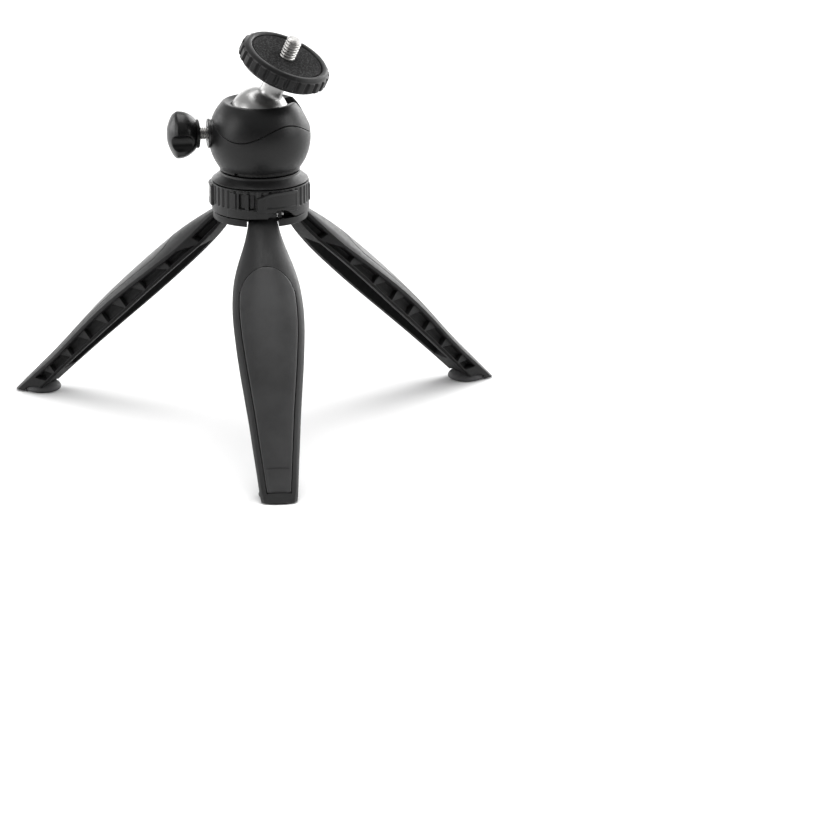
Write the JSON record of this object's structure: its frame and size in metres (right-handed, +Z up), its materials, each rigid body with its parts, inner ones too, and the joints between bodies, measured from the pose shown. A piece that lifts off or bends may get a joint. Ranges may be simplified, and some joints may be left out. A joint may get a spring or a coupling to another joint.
{
  "type": "tabletop tripod",
  "caption": "Small table tripod with folding legs on rubber feet, a turning lock ring and a ball head with a clamp knob and a round camera plate with a quarter inch screw.",
  "frame": {"origin": "centre of the bounding box on the floor plane; the tripod's own vertical axis stands 25.6 mm from it along +Y", "axes": "+Z up, the front leg points along -Y, +X to the right seen from the front"},
  "size_m": [0.2008, 0.1759, 0.1636],
  "materials": {
    "hub_plastic": "fine matte moulded texture",
    "leg_plastic": "fine matte moulded texture",
    "leg_panel_plastic": "satin moulded inlay",
    "ring_plastic": "ribbed matte plastic",
    "foot_rubber": "matte rubber",
    "pad_rubber": "finely ribbed rubber",
    "shell_plastic": "fine matte moulded texture",
    "knob_plastic": "semi gloss plastic",
    "inner_plastic": "plain",
    "ball_metal": "satin, fine turned marks",
    "screw_steel": "bright threads",
    "pin_steel": "plain"
  },
  "bodies": {
    "base": {"base_hub": "hub_plastic", "collar_cap": "ring_plastic", "head_stud": "pin_steel", "friction_washer": "pad_rubber", "hinge_pin_front": "pin_steel", "hinge_pin_right": "pin_steel", "hinge_pin_left": "pin_steel"},
    "ring": {"lock_ring": "ring_plastic"},
    "head": {"lower_shell": "shell_plastic", "upper_shell": "shell_plastic", "screw_boss": "knob_plastic"},
    "brake": {"brake_shoe": "inner_plastic"},
    "knob": {"knob": "knob_plastic", "knob_screw": "screw_steel"},
    "seat": {"ball_seat": "inner_plastic"},
    "ball": {"ball_stem": "ball_metal"},
    "plate": {"camera_plate": "ring_plastic", "plate_pad": "pad_rubber", "camera_screw": "screw_steel"},
    "leg_front": {"leg_front": "leg_plastic", "leg_panel_front": "leg_panel_plastic", "foot_front": "foot_rubber"},
    "leg_right": {"leg_right": "leg_plastic", "leg_panel_right": "leg_panel_plastic", "foot_right": "foot_rubber"},
    "leg_left": {"leg_left": "leg_plastic", "leg_panel_left": "leg_panel_plastic", "foot_left": "foot_rubber"}
  },
  "joints": [
    {"name": "leg_fold_front", "type": "hinge", "parent": "base", "child": "leg_front", "pos_m": [0, 0.0121, 0.0915], "axis": [1, 0, 0], "range_deg": [0, 43.5]},
    {"name": "leg_fold_right", "type": "hinge", "parent": "base", "child": "leg_right", "pos_m": [0.01169, 0.03235, 0.0915], "axis": [-0.5, 0.866, 0], "range_deg": [0, 43.5]},
    {"name": "leg_fold_left", "type": "hinge", "parent": "base", "child": "leg_left", "pos_m": [-0.01169, 0.03235, 0.0915], "axis": [-0.5, -0.866, 0], "range_deg": [0, 43.5]},
    {"name": "ring_turn", "type": "hinge", "parent": "base", "child": "ring", "pos_m": [0, 0.0256, 0.096], "axis": [0, 0, 1], "range_deg": [-23, 0]},
    {"name": "head_pan", "type": "hinge", "parent": "base", "child": "head", "pos_m": [0, 0.0256, 0.107], "axis": [0, 0, 1], "continuous": true},
    {"name": "ball_swivel", "type": "hinge", "parent": "head", "child": "seat", "pos_m": [0, 0.0256, 0.1285], "axis": [0, 0, 1], "continuous": true},
    {"name": "ball_tilt", "type": "hinge", "parent": "seat", "child": "ball", "pos_m": [0, 0.0256, 0.1285], "axis": [0.5417, 0.8406, 0], "range_deg": [-63.5, 11]},
    {"name": "plate_spin", "type": "hinge", "parent": "ball", "child": "plate", "pos_m": [0.00934, 0.01958, 0.15089], "axis": [0.3737, -0.2409, 0.8957], "continuous": true},
    {"name": "brake_slide", "type": "slide", "parent": "head", "child": "brake", "axis": [-0.9979, -0.0645, 0], "range_m": [0, 0.0008]},
    {"name": "knob_turn", "type": "hinge", "parent": "brake", "child": "knob", "pos_m": [-0.02994, 0.02366, 0.1224], "axis": [-0.9979, -0.0645, 0], "range_deg": [0, 360]}
  ],
  "couplings": [
    {"joint": "knob_turn", "follows": "brake_slide", "rad_per_m": 7854}
  ]
}
